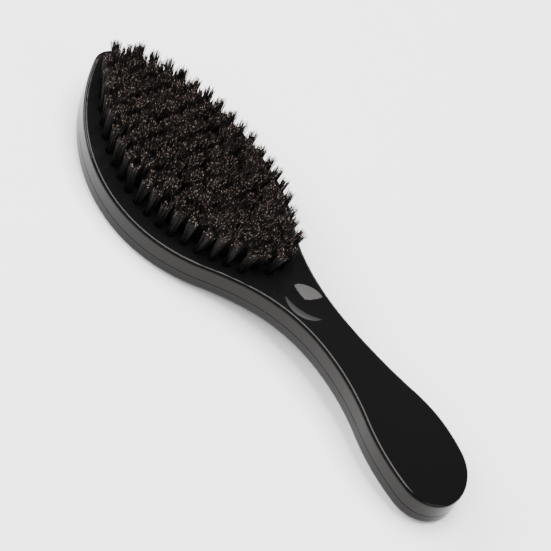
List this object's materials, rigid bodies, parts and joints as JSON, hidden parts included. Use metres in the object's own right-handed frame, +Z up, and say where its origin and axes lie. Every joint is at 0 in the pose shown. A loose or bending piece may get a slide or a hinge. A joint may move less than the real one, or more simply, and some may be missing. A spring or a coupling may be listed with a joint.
{
  "type": "beard brush",
  "caption": "Curved beard brush with a lacquered two-layer wooden body, a thumb dimple at the neck and dense boar bristle tufts.",
  "frame": {"origin": "centre of the overall box, at the surface the brush rests on when it lies on its wooden back", "axes": "+X towards the handle end, -X towards the rounded tip of the head, +Z up, the way the bristles point, XZ is the plane of symmetry"},
  "size_m": [0.225, 0.0708, 0.0341],
  "materials": {
    "black_lacquer": "black gloss lacquer on beech",
    "boar_bristle": "dark boar bristle with paler split tips",
    "drawing_wire": "drawn stainless wire"
  },
  "bodies": {
    "root": {"face_block": "black_lacquer", "back_cover": "black_lacquer", "tuft_row_01": "boar_bristle", "tuft_row_02": "boar_bristle", "tuft_row_03": "boar_bristle", "tuft_row_04": "boar_bristle", "tuft_row_05": "boar_bristle", "tuft_row_06": "boar_bristle", "tuft_row_07": "boar_bristle", "tuft_row_08": "boar_bristle", "tuft_row_09": "boar_bristle", "tuft_row_10": "boar_bristle", "tuft_row_11": "boar_bristle", "tuft_row_12": "boar_bristle", "tuft_row_13": "boar_bristle", "tuft_row_14": "boar_bristle", "tuft_row_15": "boar_bristle", "tuft_row_16": "boar_bristle", "tuft_row_17": "boar_bristle", "tuft_row_18": "boar_bristle", "tuft_row_19": "boar_bristle", "tuft_row_20": "boar_bristle", "drawing_wire_01": "drawing_wire", "drawing_wire_02": "drawing_wire", "drawing_wire_03": "drawing_wire", "drawing_wire_04": "drawing_wire", "drawing_wire_05": "drawing_wire", "drawing_wire_06": "drawing_wire", "drawing_wire_07": "drawing_wire", "drawing_wire_08": "drawing_wire", "drawing_wire_09": "drawing_wire", "drawing_wire_10": "drawing_wire", "drawing_wire_11": "drawing_wire", "drawing_wire_12": "drawing_wire", "drawing_wire_13": "drawing_wire", "drawing_wire_14": "drawing_wire", "drawing_wire_15": "drawing_wire", "drawing_wire_16": "drawing_wire", "drawing_wire_17": "drawing_wire", "drawing_wire_18": "drawing_wire", "drawing_wire_19": "drawing_wire", "drawing_wire_20": "drawing_wire"}
  },
  "joints": []
}
